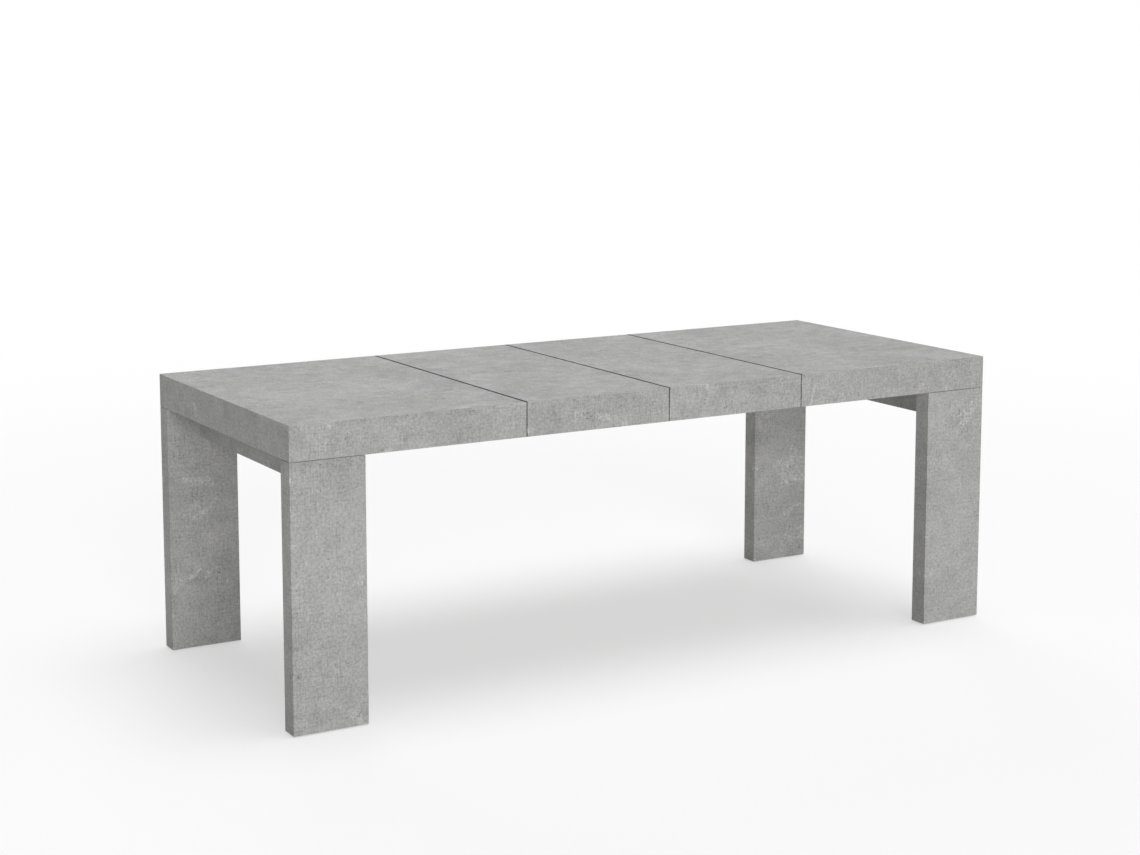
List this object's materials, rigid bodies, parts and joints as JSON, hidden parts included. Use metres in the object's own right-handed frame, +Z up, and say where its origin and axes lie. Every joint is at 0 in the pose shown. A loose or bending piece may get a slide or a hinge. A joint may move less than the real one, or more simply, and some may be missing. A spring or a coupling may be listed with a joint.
{
  "type": "extendable dining table",
  "caption": "Rectangular dining table with loose leaves between two slab-legged ends on geared aluminium slides.",
  "frame": {"origin": "on the floor under the middle of the table, drawn open with its leaves in", "axes": "+X along the length towards the right end, -Y the front long side, +Z up"},
  "size_m": [2.16, 0.9, 0.77],
  "materials": {
    "laminate": "matt concrete-look melamine on particle board",
    "beech": "planed, bare",
    "rail_aluminium": "natural anodised extrusion",
    "zinc_steel": "bright zinc plated",
    "nylon": "natural moulded",
    "black_plastic": "fine satin"
  },
  "bodies": {
    "left_end": {"left_top_board": "laminate", "left_front_apron": "laminate", "left_rear_apron": "laminate", "left_end_apron": "laminate", "left_front_leg": "laminate", "left_rear_leg": "laminate", "left_crossbar": "laminate", "left_battens": "beech", "left_steel_brackets": "zinc_steel", "left_leg_bolts": "zinc_steel", "left_bolt_inserts": "zinc_steel", "left_wood_screws": "zinc_steel", "left_front_rail": "rail_aluminium", "left_rear_rail": "rail_aluminium", "left_rail_caps": "black_plastic", "left_racks": "nylon", "left_foot_glides": "nylon", "left_latch_bases": "zinc_steel"},
    "left_leaf": {"left_leaf_board": "laminate", "left_leaf_front_apron": "laminate", "left_leaf_rear_apron": "laminate", "left_leaf_cleats": "beech", "left_leaf_strikers": "zinc_steel", "left_leaf_screws": "zinc_steel"},
    "right_end": {"right_top_board": "laminate", "right_front_apron": "laminate", "right_rear_apron": "laminate", "right_end_apron": "laminate", "right_front_leg": "laminate", "right_rear_leg": "laminate", "right_crossbar": "laminate", "right_battens": "beech", "right_steel_brackets": "zinc_steel", "right_leg_bolts": "zinc_steel", "right_bolt_inserts": "zinc_steel", "right_wood_screws": "zinc_steel", "right_front_rail": "rail_aluminium", "right_rear_rail": "rail_aluminium", "right_rail_caps": "black_plastic", "right_racks": "nylon", "right_foot_glides": "nylon", "right_latch_bases": "zinc_steel"},
    "right_leaf": {"right_leaf_board": "laminate", "right_leaf_front_apron": "laminate", "right_leaf_rear_apron": "laminate", "right_leaf_cleats": "beech", "right_leaf_strikers": "zinc_steel", "right_leaf_screws": "zinc_steel"},
    "centre_carriage": {"front_middle_rail": "rail_aluminium", "rear_middle_rail": "rail_aluminium", "slider_pads": "nylon", "cross_ties": "rail_aluminium", "tie_screws": "zinc_steel", "pinion_axles": "zinc_steel"},
    "front_gear": {"front_pinion": "nylon"},
    "left_front_hook": {"left_front_latch": "zinc_steel"},
    "right_front_hook": {"right_front_latch": "zinc_steel"},
    "rear_gear": {"rear_pinion": "nylon"},
    "left_rear_hook": {"left_rear_latch": "zinc_steel"},
    "right_rear_hook": {"right_rear_latch": "zinc_steel"}
  },
  "joints": [
    {"name": "extension", "type": "slide", "parent": "left_end", "child": "right_end", "axis": [1, 0, 0], "range_m": [0, 0.08]},
    {"name": "centring", "type": "slide", "parent": "left_end", "child": "centre_carriage", "axis": [1, 0, 0], "range_m": [0, 0.04]},
    {"name": "front_gear_spin", "type": "hinge", "parent": "centre_carriage", "child": "front_gear", "pos_m": [0, -0.25, 0.717], "axis": [0, 0, -1], "range_deg": [0, 229.2]},
    {"name": "rear_gear_spin", "type": "hinge", "parent": "centre_carriage", "child": "rear_gear", "pos_m": [0, 0.25, 0.717], "axis": [0, 0, -1], "range_deg": [0, 229.2]},
    {"name": "left_leaf_lift", "type": "slide", "parent": "centre_carriage", "child": "left_leaf", "axis": [0, 0, 1], "range_m": [0, 0.3]},
    {"name": "right_leaf_lift", "type": "slide", "parent": "centre_carriage", "child": "right_leaf", "axis": [0, 0, 1], "range_m": [0, 0.3]},
    {"name": "left_front_latch_turn", "type": "hinge", "parent": "left_end", "child": "left_front_hook", "pos_m": [-0.47, -0.385, 0.7465], "axis": [0, 0, -1], "range_deg": [0, 90]},
    {"name": "left_rear_latch_turn", "type": "hinge", "parent": "left_end", "child": "left_rear_hook", "pos_m": [-0.47, 0.385, 0.7465], "axis": [0, 0, 1], "range_deg": [0, 90]},
    {"name": "right_front_latch_turn", "type": "hinge", "parent": "right_end", "child": "right_front_hook", "pos_m": [0.47, -0.385, 0.7465], "axis": [0, 0, 1], "range_deg": [0, 90]},
    {"name": "right_rear_latch_turn", "type": "hinge", "parent": "right_end", "child": "right_rear_hook", "pos_m": [0.47, 0.385, 0.7465], "axis": [0, 0, -1], "range_deg": [0, 90]}
  ],
  "couplings": [
    {"joint": "centring", "follows": "extension", "ratio": 0.5},
    {"joint": "front_gear_spin", "follows": "extension", "rad_per_m": 50},
    {"joint": "rear_gear_spin", "follows": "extension", "rad_per_m": 50}
  ]
}
